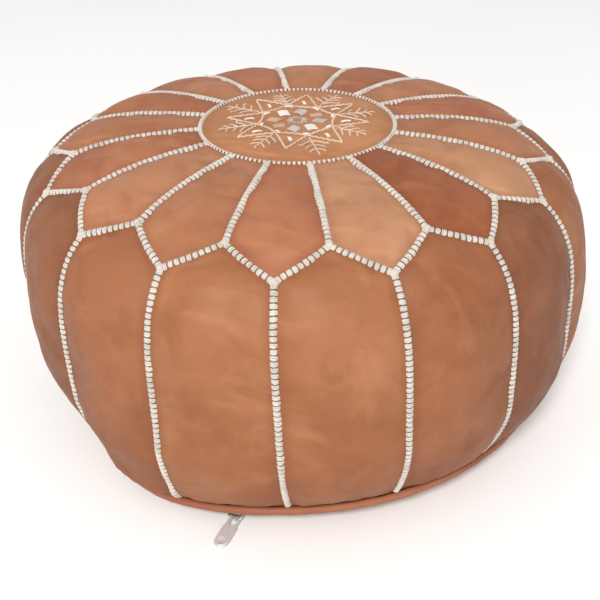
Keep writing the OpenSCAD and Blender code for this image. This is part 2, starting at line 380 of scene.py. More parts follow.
def leather_material(name, light, dark):
    """Vegetable-tanned leather: mottled between two tones, fine grain, faint creases and scuffs, with
    painted shade along its sewn borders and towards the bottom.
    """
    n = Nodes(name)
    turn = tuple(RNG.uniform(0, RANDOM_TURN, 3))
    offset = tuple(RNG.uniform(-5, 5, 3))
    at = n.place(offset, turn)
    clouds = n.noise(at, 7.0, 4.0, 0.55, 0.6)
    blotches = n.noise(at, 26.0, 5.0, 0.6, 0.4)
    specks = n.noise(at, 260.0, 3.0, 0.6)
    streaks = n.noise(n.place(offset, turn, (4, 22, 9)), 2.0, 4.0, 0.6, 0.8)
    tone = n.mix(n.ramp(clouds, 0.34, 0.66), light, dark)
    deep = (dark[0] * 0.80, dark[1] * 0.70, dark[2] * 0.70, 1.0)
    pale = tuple(min(1.0, c * 1.16 + 0.02) for c in light[:3]) + (1.0,)
    tone = n.mix(n.ramp(blotches, 0.47, 0.70, 0.0, 0.46), tone, deep)
    tone = n.mix(n.ramp(streaks, 0.50, 0.74, 0.0, 0.50), tone, pale)
    tone = n.mix(n.ramp(specks, 0.60, 0.80, 0.0, 0.25), tone, deep)
    # painted shade: the leather turns towards its deep tone close to its sewn borders, where shade falls in
    # the seam grooves
    edge = n.ramp(n.attribute("seam"), 0.002, 0.014, 0.5, 0.0)
    tone = n.mix(edge, tone, deep)
    # painted shade: darker towards the bottom, below 0.2 m, for the shade under the pouf's bulge
    height = n.add("ShaderNodeSeparateXYZ", {"Vector": n.place()}).outputs["Z"]
    tone = n.mix(n.ramp(height, 0.02, 0.20, 0.42, 0.0), tone, deep)
    n.link(tone, "Base Color")
    rough = n.ramp(n.noise(at, 40.0, 4.0, 0.6), 0.3, 0.7, 0.48, 0.66)
    n.link(rough, "Roughness")
    n.shader.inputs["Specular IOR Level"].default_value = 0.29
    cells = n.add("ShaderNodeTexVoronoi", {"Vector": at, "Scale": 900.0}, feature="DISTANCE_TO_EDGE")
    pores = n.ramp(cells.outputs["Distance"], 0.0, 0.25)
    creases = n.noise(n.place(offset, turn, (1, 3, 1)), 55.0, 6.0, 0.65, 1.2)
    soft = n.noise(at, 18.0, 2.0, 0.5, 0.3)
    normal = n.bump(soft, 0.25, 6 * MM)
    normal = n.bump(creases, 0.30, 1.2 * MM, normal)
    normal = n.bump(pores, 0.35, 0.12 * MM, normal)
    n.link(normal, "Normal")
    return n.material


def thread_material(name, colour, shade, rough=0.72):
    """Twisted thread, with painted shade in the lines between its plies."""
    n = Nodes(name)
    at = n.place()
    tone = n.mix(n.ramp(n.noise(at, 60.0, 3.0), 0.35, 0.7), colour, shade)
    uv = n.add("ShaderNodeTexCoord").outputs["UV"]
    split = n.add("ShaderNodeSeparateXYZ", {"Vector": uv})
    along = n.math("MULTIPLY", split.outputs["X"], 0.9)
    turns = n.math("ADD", along, n.math("MULTIPLY", split.outputs["Y"], 2.0))
    ply = n.math("SINE", n.math("MULTIPLY", turns, 2 * math.pi), 0.0)
    # painted shade: the grooves between the plies are darkened
    tone = n.mix(n.ramp(ply, -1.0, -0.2, 0.18, 0.0), tone, shaded(shade, 0.6))
    n.link(tone, "Base Color")
    n.shader.inputs["Roughness"].default_value = rough
    n.shader.inputs["Sheen Weight"].default_value = 0.15
    n.shader.inputs["Specular IOR Level"].default_value = 0.35
    fibres = n.noise(at, 2600.0, 2.0)
    normal = n.bump(ply, 0.5, 0.15 * MM)
    normal = n.bump(fibres, 0.3, 0.08 * MM, normal)
    n.link(normal, "Normal")
    return n.material


def metal_material(name, colour, rough, metallic=1.0):
    """Dull plated metal with fine scratches and smudges."""
    n = Nodes(name)
    at = n.place()
    smudge = n.noise(at, 120.0, 4.0, 0.6)
    n.link(n.mix(n.ramp(smudge, 0.35, 0.75, 0.0, 0.5), colour, shaded(colour, 0.7)), "Base Color")
    n.link(n.ramp(smudge, 0.3, 0.8, rough, rough + 0.2), "Roughness")
    n.shader.inputs["Metallic"].default_value = metallic
    scratches = n.noise(n.place(scale=(1, 14, 1)), 900.0, 3.0)
    n.link(n.bump(scratches, 0.15, 0.05 * MM), "Normal")
    return n.material


def cloth_material(name, colour, scale, rough=0.85):
    """Woven cloth: two crossed sets of yarns."""
    n = Nodes(name)
    at = n.place()
    tone = n.mix(n.ramp(n.noise(at, 90.0, 4.0), 0.3, 0.7), colour, shaded(colour, 0.65))
    n.link(tone, "Base Color")
    n.shader.inputs["Roughness"].default_value = rough
    n.shader.inputs["Sheen Weight"].default_value = 0.2
    split = n.add("ShaderNodeSeparateXYZ", {"Vector": at})
    warp = n.math("SINE", n.math("MULTIPLY", split.outputs["X"], scale), 0.0)
    weft = n.math("SINE", n.math("MULTIPLY", split.outputs["Y"], scale), 0.0)
    n.link(n.bump(n.math("MULTIPLY", warp, weft), 0.5, 0.2 * MM), "Normal")
    return n.material


# ---- camera, light and floor ----

def add_camera():
    """The photograph's view: from the front, a little to the right, looking down."""
    azimuth, elevation, roll = math.radians(16.45), math.radians(32.1), math.radians(1.15)
    distance = 1.0196
    right = Vector((math.cos(azimuth), math.sin(azimuth), 0))
    level = math.cos(elevation)
    back = Vector((math.sin(azimuth) * level, -math.cos(azimuth) * level, math.sin(elevation)))
    up = back.cross(right)
    aim = right * -8.5 * MM + Vector((0, 0, 84 * MM))
    data = bpy.data.cameras.new("camera")
    data.lens = 57.66
    data.sensor_width = 36
    data.clip_start = 0.05
    camera = bpy.data.objects.new("camera", data)
    x = right * math.cos(roll) - up * math.sin(roll)
    y = right * math.sin(roll) + up * math.cos(roll)
    turn = Matrix((x, y, back)).transposed().to_4x4()
    camera.matrix_world = Matrix.Translation(aim + back * distance) @ turn
    bpy.context.scene.collection.objects.link(camera)
    bpy.context.scene.camera = camera


def add_light(name, place, size, power, colour):
    """A round soft light that points at the middle of the pouf."""
    data = bpy.data.lights.new(name, "AREA")
    data.shape = "DISK"
    data.size = size
    data.energy = power
    data.color = colour
    light = bpy.data.objects.new(name, data)
    light.location = place
    aim = Vector((0, 0, 0.12)) - Vector(place)
    light.rotation_euler = aim.to_track_quat("-Z", "Y").to_euler()
    bpy.context.scene.collection.objects.link(light)


def add_stage():
    """White surroundings, one soft key light and a pale floor."""
    world = bpy.data.worlds.new("studio")
    world.use_nodes = True
    background = world.node_tree.nodes["Background"]
    background.inputs["Color"].default_value = (1, 1, 1, 1)
    background.inputs["Strength"].default_value = 0.72
    bpy.context.scene.world = world
    bpy.context.scene.view_settings.view_transform = "Standard"
    add_light("key", (0.3, -3.4, 3.3), 1.2, 178, (1.0, 0.975, 0.94))
    size, below = 12.0, -0.4 * MM
    n = Nodes("pale_floor")
    shade = n.ramp(n.noise(n.place(), 1.5, 3.0), 0.3, 0.7)
    n.link(n.mix(shade, (0.92, 0.92, 0.92, 1), (0.90, 0.90, 0.90, 1)), "Base Color")
    n.shader.inputs["Roughness"].default_value = 0.9
    corners = [(-size, -size, below), (size, -size, below), (size, size, below), (-size, size, below)]
    new_mesh("floor", corners, [(0, 1, 2, 3)], n.material)


# ---- the sewn leather cover ----

HALF = 11  # grid columns across half a panel
COLUMNS = 2 * HALF * PANELS
PETAL_ROWS = 26
SIDE_ROWS = 56
START_PUFF = 2.0 * MM  # how far a panel stands out before the simulation
CLOTH_FRAMES = 24
MOST_OUT = 9 * MM  # the simulation may move a point this far outwards
MOST_IN = 1 * MM
MOST_SLIDE = 4 * MM


def cover_grid():
    """Arc length and angle of every grid point, row by row from the medallion to the rim."""
    column = np.arange(COLUMNS)
    theta = FRONT + column * 2 * math.pi / COLUMNS
    phase = (column % (2 * HALF)) / HALF
    t = np.where(phase <= 1, phase, 2 - phase)
    ring, zigzag = arc_at(MEDALLION_R), arc_at(zigzag_radius(t))
    down_petal = np.linspace(0, 1, PETAL_ROWS + 1)[:, None]
    down_side = np.linspace(0, 1, SIDE_ROWS + 1)[1:, None]
    arc = np.concatenate([ring + (zigzag - ring) * down_petal, zigzag + (RIM_ARC - zigzag) * down_side])
    return arc, np.broadcast_to(theta, arc.shape), t


def seam_lines(t):
    """True at the grid points that are sewn down."""
    rows = PETAL_ROWS + SIDE_ROWS + 1
    sewn = np.zeros((rows, COLUMNS), bool)
    sewn[0] = sewn[PETAL_ROWS] = sewn[-1] = True
    sewn[:PETAL_ROWS, t == 0] = True
    sewn[PETAL_ROWS:, t == 1] = True
    return sewn


def simulated(first, sewn):
    """The cover's points after a cloth simulation with pressure inside and the seams held."""
    obj = new_mesh("cover_cloth", first, grid_faces(len(first), COLUMNS, wrap=True))
    group = obj.vertex_groups.new(name="sewn")
    group.add(np.flatnonzero(sewn.ravel()).tolist(), 1.0, "REPLACE")
    cloth = obj.modifiers.new("cloth", "CLOTH")
    s = cloth.settings
    s.quality = 6
    s.mass = 0.35
    s.tension_stiffness = s.compression_stiffness = 18
    s.shear_stiffness = 8
    s.bending_stiffness = 1.2
    s.vertex_group_mass = "sewn"
    s.use_pressure = True
    s.uniform_pressure_force = 5
    s.shrink_min = -0.025
    s.effector_weights.gravity = 0
    cloth.collision_settings.use_collision = False
    cloth.point_cache.frame_start = 1
    cloth.point_cache.frame_end = CLOTH_FRAMES
    for frame_number in range(1, CLOTH_FRAMES + 1):
        bpy.context.scene.frame_set(frame_number)
    done = obj.evaluated_get(bpy.context.evaluated_depsgraph_get())
    moved = np.zeros(first.size)
    done.data.vertices.foreach_get("co", moved)
    bpy.data.objects.remove(obj)
    bpy.context.scene.frame_set(1)
    return moved.reshape(first.shape)


def puffed_cover():
    """The cover's grid points after the stuffing has pushed the leather out, and their angles."""
    arc, theta, t = cover_grid()
    start, normals = on_outline(arc, theta, -SEAM_SINK)
    sewn = seam_lines(t)
    across = np.where(np.arange(len(arc))[:, None] <= PETAL_ROWS, t, 1 - t)
    lift = np.where(sewn, 0, (1 - (1 - across) ** 2) * START_PUFF)
    wobble = RNG.normal(0, 0.15 * MM, lift.shape)
    first = start + normals * (lift + np.where(sewn, 0, wobble))[..., None]
    shift = simulated(first, sewn) - start
    out = (shift * normals).sum(-1)
    slide = shift - out[..., None] * normals
    out = np.clip(out, -MOST_IN, MOST_OUT)
    far = np.maximum(np.linalg.norm(slide, axis=-1), 1e-9)
    slide *= np.minimum(1, MOST_SLIDE / far)[..., None]
    soft = 1 - np.exp(-out / (2.5 * MM))
    out = out + soft * (0.9 * MM * lumps(start, 90 * MM, 3) + 0.35 * MM * lumps(start, 34 * MM, 4))
    return start + out[..., None] * normals + slide, theta


def leather_panel(name, node, points, tan):
    """One leather panel from its grid of points, thickened inwards."""
    rows, cols = points.shape[:2]
    material = leather_material(name, *TANS[tan])
    obj = new_mesh(name, settle(points), grid_faces(rows, cols), material)
    point_attribute(obj, "seam", grid_distance(points))
    corners = np.zeros((rows, cols))
    corners[np.ix_([0, -1], [0, cols // 2, -1])] = 1
    point_attribute(obj, "crease_vert", corners)
    subdivide(obj).boundary_smooth = "PRESERVE_CORNERS"
    thicken(obj)
    declare(obj, node)


TANS = {
    "golden": (rgb(176, 127, 94), rgb(162, 112, 79)),
    "tan": (rgb(167, 114, 81), rgb(153, 98, 66)),
    "rosy": (rgb(162, 104, 72), rgb(148, 88, 58)),
    "russet": (rgb(148, 88, 55), rgb(133, 73, 43)),
    # side tones: real colours that differ from panel to panel, made darker than the petals' as painted
    # shade for the less light on the sides; umber, the darkest, is painted shade on the flanks turned away
    # from the front light
    "honey": (rgb(156, 102, 67), rgb(142, 88, 54)),
    "brown": (rgb(146, 92, 60), rgb(131, 79, 48)),
    "shaded_umber": (rgb(133, 84, 56), rgb(119, 71, 45)),
}
PETAL_TANS = (
    "rosy", "golden", "russet", "golden", "tan", "rosy", "tan", "rosy",
    "tan", "rosy", "tan", "rosy", "tan", "rosy", "tan", "tan",
)
# painted shade in part: the darkest tone is given to side panels 04, 14 and 15, on the flanks turned away
# from the light
SIDE_TANS = (
    "honey", "honey", "brown", "shaded_umber", "honey", "brown", "honey", "brown",
    "honey", "brown", "brown", "honey", "brown", "shaded_umber", "shaded_umber", "brown",
)


def grid_distance(points):
    """Distance of each grid point from the panel's own sewn border, along the leather."""
    left, top = run_length(points, 1), run_length(points, 0)
    return np.minimum.reduce([left, left[:, -1:] - left, top, top[-1:] - top])


def tucked_hem(theta):
    """Rows of leather that turn in behind the piping."""
    hem = [(3.0, 1.6), (4.6, 4), (7, 6)]  # mm inside the rim's radius and below its height
    rows = [(RIM_R - inside * MM, RIM_Z - below * MM) for inside, below in hem]
    return np.array([[(r * math.cos(a), r * math.sin(a), z) for a in theta] for r, z in rows])


def make_cover():
    """The petals and the side panels, cut from the one puffed cover."""
    points, theta = puffed_cover()
    wide = np.arange(2 * HALF + 1)
    for i in range(PANELS):
        label = f"{i + 1:02d}"
        cols = (i * 2 * HALF + wide) % COLUMNS
        part = points[:PETAL_ROWS + 1][:, cols]
        leather_panel(f"petal_leather_{label}", f"petal_{label}", part, PETAL_TANS[i])
        cols = (i * 2 * HALF - HALF + wide) % COLUMNS
        part = np.concatenate([points[PETAL_ROWS:][:, cols], tucked_hem(theta[0, cols])])
        leather_panel(f"side_leather_{label}", f"side_panel_{label}", part, SIDE_TANS[i])


def medallion_lift(arc, theta):
    """How far the medallion's face stands from the CAD outline: domed, and low at its seam."""
    share = np.clip(arc / arc_at(MEDALLION_R), 0, 1)
    dome = 4.2 * MM * (1 - share ** 7)
    wave = 0.7 * MM * np.sin(3 * theta + 1) * share * (1 - share) * 4
    return dome + wave - SEAM_SINK


def make_medallion():
    """The round piece in the middle of the top, a little domed and sewn down at its edge."""
    rings, spokes = 40, 160
    share = 1 - (1 - np.linspace(0, 1, rings + 1)[1:]) ** 1.25
    theta = full_turn(spokes)[None, :]
    arc = arc_at(MEDALLION_R) * share[:, None] + 0 * theta
    points, normals = on_outline(arc, theta)
    points = points + normals * medallion_lift(arc, theta)[..., None]
    centre = points[0].mean(0)
    faces = [list(f) for f in grid_faces(rings, spokes, wrap=True)]
    faces += [[rings * spokes, j, (j + 1) % spokes] for j in range(spokes)]
    points = np.concatenate([points.reshape(-1, 3), centre[None]])
    material = leather_material("medallion_leather", rgb(180, 126, 86), rgb(165, 110, 70))
    obj = new_mesh("medallion_leather", settle(points), faces, material)
    from_seam = np.concatenate([np.repeat((1 - share) * MEDALLION_R, spokes), [MEDALLION_R]])
    point_attribute(obj, "seam", from_seam)
    thicken(obj)
    declare(obj, "medallion")


# ---- stitches ----

STITCH_PITCH = 5.0 * MM
RING_PITCH = 4.4 * MM
STRAND_GAP = 1.32 * MM
STITCH_H = 2.3 * MM


def spaced(points, normals, pitch, trim=0.0, closed=False):
    """Evenly spaced places along a line of points: position, direction and normal."""
    along = run_length(points)
    length = along[-1] - 2 * trim
    count = max(1, round(length / pitch))
    if closed:
        at = np.arange(count) * along[-1] / count
    else:
        at = trim + (np.arange(count) + 0.5) * length / count

    def pick(values, where):
        return np.stack([np.interp(where, along, values[:, k]) for k in range(3)], -1)

    near = 1 * MM
    ahead, behind = np.minimum(at + near, along[-1]), np.maximum(at - near, 0)
    tangent = unit(pick(points, ahead) - pick(points, behind))
    return pick(points, at), tangent, unit(pick(normals, at))


def stitch_paths(places, width, strands, height):
    """Arched strand paths of the stitches at the given places, drawn together at their ends."""
    centre, along, normal = places
    count = len(centre)
    slant = RNG.normal(0, 0.06, count)[:, None]
    side = unit(np.cross(along, normal) + along * slant)
    size = 1 + RNG.normal(0, 0.04, count)
    a = np.linspace(-1, 1, 7)
    rise = height * (1 - np.abs(a) ** 2.6) - 0.5 * height * np.abs(a) ** 8
    rank = np.arange(strands) - (strands - 1) / 2
    shift = RNG.normal(0, 0.07 * MM, (count, strands))
    spread = rank[None, :, None] * STRAND_GAP * (1 - 0.42 * a ** 4)[None, None] + shift[..., None]
    crown = 1 - 0.22 * rank ** 2
    paths = (
        centre[:, None, None]
        + along[:, None, None] * spread[..., None]
        + side[:, None, None] * (a * width / 2)[None, None, :, None] * size[:, None, None, None]
        + normal[:, None, None] * (rise[None, None] * crown[None, :, None])[..., None]
    )
    return paths.reshape(count * strands, len(a), 3), np.repeat(along, strands, 0)


def stitches(name, node, all_places, width, strands, height, material):
    """A family of stitch rows as one piece."""
    parts = [stitch_paths(places, width, strands, height) for places in all_places]
    paths = np.concatenate([part[0] for part in parts])
    across = np.concatenate([part[1] for part in parts])
    wide, high = STRAND_GAP * 0.58, STRAND_GAP * 0.52
    thread_piece(name, paths, across, wide, high, material, node)


def seam_shade_cord(name, lines, normals, width, material):
    """A dark cord that lies in each seam under its stitches; its grey-brown colour is painted shade that
    shows between them.
    """
    paths = np.stack(lines)
    along = unit(np.gradient(paths, axis=1))
    side = np.cross(along, np.stack(normals)).mean(1)
    thread_piece(name, paths, unit(side), width / 2, 1.1 * MM, material)


def junction(arc, theta):
    """Two stitches, one across the other, where three seams meet."""
    centre, normal = on_outline(np.array([arc, arc]), np.array([theta, theta]), -SEAM_SINK * 0.4)
    down = on_outline(arc + 1 * MM, theta)[0] - on_outline(arc - 1 * MM, theta)[0]
    down = unit(down)
    side = np.cross(normal[0], down)
    return centre, np.stack([unit(down + side), unit(down - side)]), normal


def make_stitches():
    """The seams between petals, along the zigzag, between side panels and round the medallion."""
    ivory = thread_material("ivory_thread", rgb(212, 206, 197), rgb(192, 184, 174))
    # painted shade: the cord's grey-brown stands in for the shade between the stitches
    gap_shade = thread_material("gap_shade_cord", rgb(140, 130, 116), rgb(112, 102, 90))
    sink = -SEAM_SINK * 0.9
    t = np.linspace(0, 1, 120)
    ring_arc = arc_at(MEDALLION_R)
    families = {"petal": [], "zigzag": [], "side": []}
    end, top = arc_at(PETAL_END_R), arc_at(SIDE_TOP_R)
    down_petal = ring_arc + (end - ring_arc) * t
    zigzag = arc_at(zigzag_radius(t))
    down_side = top + (RIM_ARC - 1.5 * MM - top) * t
    for k in range(PANELS):
        theta = FRONT + k * STEP
        families["petal"].append(on_outline(down_petal, theta, sink))
        for way in (1, -1):
            families["zigzag"].append(on_outline(zigzag, theta + way * t * STEP / 2, sink))
        families["side"].append(on_outline(down_side, theta + STEP / 2, sink))
    for family, lines in families.items():
        places = [spaced(line, normal, STITCH_PITCH, 1 * MM) for line, normal in lines]
        if family == "zigzag":
            for k in range(PANELS):
                places.append(junction(end, FRONT + k * STEP))
                places.append(junction(top, FRONT + (k + 0.5) * STEP))
        stitches(f"{family}_seam_stitches", f"{family}_seam_threads", places, SEAM_W, 3, STITCH_H, ivory)
        seam_shade_cord(f"{family}_seam_shade_cords", [x[0] for x in lines], [x[1] for x in lines], SEAM_W * 0.7, gap_shade)
    theta = np.linspace(0, 2 * math.pi, 400)
    ring = [spaced(*on_outline(ring_arc + 0 * theta, theta, sink), RING_PITCH, closed=True)]
    stitches("medallion_ring_stitches", "medallion_seam_thread", ring, RING_W, 2, 1.8 * MM, ivory)


# ---- embroidery on the medallion ----

STAR_R = 0.73 * MEDALLION_R  # tips of the two crossed squares
SPRIG_R = 0.87 * MEDALLION_R
STAR_TURN = math.radians(7.5)
EIGHTH = math.pi / 4


def on_medallion(flat, lift=0.0):
    """Places points of the flat pattern (x, y) on the medallion's face, lifted by lift."""
    flat = np.asarray(flat, float)
    radius = np.hypot(flat[..., 0], flat[..., 1])
    theta = np.arctan2(flat[..., 1], flat[..., 0])
    arc = arc_at(radius)
    points, normals = on_outline(arc, theta)
    return points + normals * (medallion_lift(arc, theta) + lift)[..., None]


def polar(radius, angle):
    """A point of the flat pattern."""
    return np.array([radius * math.cos(angle), radius * math.sin(angle)])


def eighth(k):
    """The pattern's directions outwards and sideways, k eighths of a turn from its first tip."""
    angle = FRONT + STAR_TURN + k * EIGHTH
    return polar(1, angle), polar(1, angle + math.pi / 2)


def run_of_stitches(line, length=6 * MM):
    """Cuts a line of points into end-to-end stitches, each as a start and an end."""
    line = np.asarray(line, float)
    along = run_length(line)
    count = max(1, round(along[-1] / length))
    cuts = np.linspace(0, along[-1], count + 1)
    at = np.stack([np.interp(cuts, along, line[:, k]) for k in range(2)], -1)
    return list(zip(at[:-1], at[1:]))


def satin(centre, along, across, gap=0.95 * MM):
    """Parallel threads that fill a parallelogram with the given half-sides."""
    count = max(2, round(2 * np.linalg.norm(across) / gap))
    places = (np.arange(count) + 0.5) / count * 2 - 1
    return [(centre + across * s - along, centre + across * s + along) for s in places]


def embroidered(name, threads, material, half_wide, node=None):
    """A piece of embroidery from straight threads, each arched over the leather."""
    threads = np.array(threads)
    share = np.linspace(0, 1, 7)
    threads = threads + RNG.normal(0, 0.12 * MM, threads.shape)
    start, end = threads[:, 0, None], threads[:, 1, None]
    flat = start + (end - start) * share[None, :, None]
    arch = np.sin(math.pi * share) ** 0.5 * MM - 0.45 * MM
    paths = on_medallion(flat, arch[None, :] + 0 * flat[..., 0])
    across = np.cross(unit(paths[:, -1] - paths[:, 0]), [0, 0, 1])
    thread_piece(name, paths, across, half_wide, half_wide * 0.7, material, node)


def star_threads():
    """Two crossed squares whose sides bow in towards the middle."""
    threads = []
    t = np.linspace(0, 1, 25)[:, None]
    for k in range(8):
        a, b = STAR_R * eighth(k)[0], STAR_R * eighth(k + 2)[0]
        bow = -14 * MM * unit((a + b)[None])[0]
        line = a + (b - a) * t + bow * np.sin(math.pi * t) ** 1.3
        threads += run_of_stitches(line)
    return threads


def sprig_threads():
    """Eight fir-like sprigs between the star's tips, some barbs ending in a hook."""
    threads = []
    for k in range(8):
        out, side = eighth(k + 0.5)
        length = 0.95 + 0.05 * math.cos(2.4 * k)
        threads += run_of_stitches([out * 0.46 * MEDALLION_R, out * SPRIG_R * length], 7 * MM)
        for n in range(3):
            root = out * (0.56 + 0.095 * n) * MEDALLION_R * length
            for way in (1, -1):
                reach = (14 - 2.2 * n) * MM
                tip = root + (out * 0.72 + side * way) * reach * 0.8
                threads.append((root, tip))
                if (k + n) % 3 == 0 and n < 2:
                    threads.append((tip, tip + (out * way * 0.4 + side * 0.9 * way) * 3 * MM))
    return threads


def dash_threads():
    """Short doubled stitches inside the star's tips and beside its crossings."""
    threads = []
    for k in range(8):
        out, side = eighth(k)
        lean = out + 0.35 * side * (-1) ** k
        threads += satin(out * 0.50 * MEDALLION_R, lean * 4.4 * MM, side * 1.3 * MM)
        out, side = eighth(k + 0.5)
        threads += satin(out * 0.375 * MEDALLION_R, side * 3.8 * MM + out * 1.4 * MM, out * 1.2 * MM)
    return threads


def lozenge_threads(places):
    """Satin-stitched lozenges round the middle, at the given eighths of a turn."""
    threads = []
    for k in places:
        out, side = eighth(k)
        along, across = side * 4.6 * MM + out * 2.4 * MM, out * 5.4 * MM - side * 2.0 * MM
        threads += satin(out * 0.235 * MEDALLION_R, along, across, 0.8 * MM)
    return threads


def ring_threads():
    """A ring of radiating stitches in the very middle."""
    angles = np.arange(20) * math.pi / 10
    return [(polar(4.4 * MM, a), polar((9.6 + 0.8 * (i % 2)) * MM, a)) for i, a in enumerate(angles)]


def make_embroidery():
    """The pieces of embroidery, one for each pattern and colour."""
    ivory = thread_material("ivory_floss", rgb(214, 190, 168), rgb(196, 168, 145), 0.5)
    white = thread_material("white_silk", rgb(236, 232, 228), rgb(220, 214, 208), 0.35)
    silver = thread_material("silver_silk", rgb(196, 192, 182), rgb(168, 164, 156), 0.35)
    tan = thread_material("tan_silk", rgb(202, 166, 134), rgb(180, 142, 112), 0.4)
    embroidered("embroidered_star", star_threads(), ivory, 1.15 * MM, "medallion_embroidery")
    embroidered("embroidered_sprigs", sprig_threads(), ivory, 1.0 * MM)
    embroidered("embroidered_dashes", dash_threads(), white, 0.75 * MM)
    embroidered("embroidered_ring", ring_threads(), silver, 0.6 * MM)
    lozenges = (("white", (1, 5), white), ("silver", (0, 2, 4), silver), ("tan", (3, 6, 7), tan))
    for colour, places, material in lozenges:
        embroidered(f"embroidered_lozenges_{colour}", lozenge_threads(places), material, 0.62 * MM)


# ---- piping and base ----

PIPE_LOW, PIPE_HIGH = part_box("rim_piping")
PIPE_HALF = (PIPE_HIGH.z - PIPE_LOW.z) / 2
PIPE_R = PIPE_HIGH.x - PIPE_HALF
PIPE_Z = PIPE_LOW.z + PIPE_HALF + 1.4 * MM  # pressed up against the skirt
FOLD_AT = 2.4  # where round the band it is sewn in, in radians


def make_piping():
    """The folded band sewn in between sides and base, lapped over itself near the zip."""
    turns, around = 540, 18
    theta = full_turn(turns)[:, None]
    phi = full_turn(around)[None, :]
    fold = 1 - 0.20 * np.exp(-(np.angle(np.exp(1j * (phi - FOLD_AT))) / 0.35) ** 2)
    band = fold * (1 + 0.06 * np.cos(2 * (phi - 0.9)))
    circle = on_circle(1.0, theta, 0 * theta)
    puckers = 0.30 * MM * lumps(circle[:, 0] * POUF_R, 16 * MM, 11)[:, None]
    lap_from = FRONT + math.radians(1.5)
    past = np.mod(theta - lap_from, 2 * math.pi) / math.radians(5)
    lap = 0.6 * MM * (past < 1) * (1 - 0.4 * past)
    half = (PIPE_HALF - 0.4 * MM) * band + puckers + lap
    points = on_circle(PIPE_R + half * np.cos(phi), theta, PIPE_Z + half * np.sin(phi))
    faces = grid_faces(turns, around, wrap=True)
    last = (turns - 1) * around
    j = np.arange(around)
    k = (j + 1) % around
    faces = np.concatenate([faces, np.stack([last + j, j, k, last + k], -1)])
    material = leather_material("piping_leather", rgb(166, 109, 80), rgb(150, 93, 66))
    obj = new_mesh("piping_leather", settle(points), faces[:, ::-1], material)
    # the band counts as a sewn border round its fold, so the leather's painted shade darkens it where it is
    # sewn in against the skirt
    from_seam = np.where(np.abs(phi - FOLD_AT) < 0.5, 0.0, 0.02)
    point_attribute(obj, "seam", np.broadcast_to(from_seam, (turns, around)))
    subdivide(obj)
    declare(obj, "rim_piping")


BASE_LOW, BASE_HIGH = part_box("base_right")
BASE_R = BASE_HIGH.x
BASE_REACH = BASE_R * 0.9985  # the modelled leather stops just short of the CAD edge
BASE_EDGE_Z = BASE_HIGH.z
BASE_FLAT_R = 205 * MM  # inside this radius the base lies on the floor
base_points = node_points("base_right")
SLOT_HALF = base_points[base_points[:, 1] < 0, 0].min()
SLOT_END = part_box("zip_bottom_stop")[1].y + 12 * MM


def base_height(x, y):
    """Height of the base's outer face: flat on the floor, turned up towards the rim, edge tucked in."""
    radius = np.hypot(x, y)
    tuck = 5.5 * MM * np.exp(-((BASE_REACH - radius) / (3 * MM)) ** 2)
    turned_up = np.clip((radius - BASE_FLAT_R) / (BASE_R - BASE_FLAT_R), 0, 1) ** 2
    flat = np.stack([x, y, 0 * x], -1)
    uneven = 0.35 * MM * (1 + lumps(flat, 60 * MM, 21) / 2)
    return (BASE_EDGE_Z - LEATHER_T) * turned_up + uneven * (1 - turned_up) + tuck


def base_half(side, label):
    """One half of the base: rows along the zip, its inner edge turned in beside the slot."""
    rows, cols = 150, 60
    y = -BASE_REACH * np.cos(np.linspace(0.06, math.pi - 0.015, rows))[:, None]
    inner = np.where(y < SLOT_END, SLOT_HALF, 0.1 * MM)
    outer = np.sqrt(BASE_REACH ** 2 - y ** 2)
    inner = np.minimum(inner, outer - 0.2 * MM)
    share = np.linspace(0, 1, cols)[None, :] ** 1.4
    x = inner + (outer - inner) * share
    y = y + 0 * x
    z = base_height(x, y)
    hem = 0.5 * MM * np.exp(-((x - inner) / (4 * MM)) ** 4)
    points = np.stack([side * x, y, z + hem], -1)
    faces = grid_faces(rows, cols)
    name = f"base_leather_{label}"
    material = leather_material(name, rgb(160, 105, 74), rgb(142, 88, 60))
    obj = new_mesh(name, settle(points), faces[:, ::side], material)
    point_attribute(obj, "seam", np.minimum(x - inner, outer - x))
    thicken(obj)
    declare(obj, f"base_{label}")


def make_base():
    """The two halves of the base and the rows of stitches that hold the zip's tapes."""
    for side, label in SIDES:
        base_half(side, label)
    thread = thread_material("base_thread", rgb(214, 200, 180), rgb(190, 174, 152))
    share = np.linspace(0, 1, 6)
    paths = []
    for side, _ in SIDES:
        for inset in (2.2 * MM, 7.5 * MM):
            for front in np.arange(BASE_LOW.y + 22 * MM, SLOT_END - 1 * MM, 5 * MM):
                x = side * (SLOT_HALF + inset) + 0 * share
                y = front + 3.6 * MM * share
                z = base_height(x, y) + 0.30 * MM - 0.45 * MM * np.sin(math.pi * share) ** 0.5
                paths.append(np.stack([x, y, z], -1))
    across = np.tile([1.0, 0, 0], (len(paths), 1))
    thread_piece("base_stitches", np.array(paths), across, 0.45 * MM, 0.3 * MM, thread)


# ---- filling ----

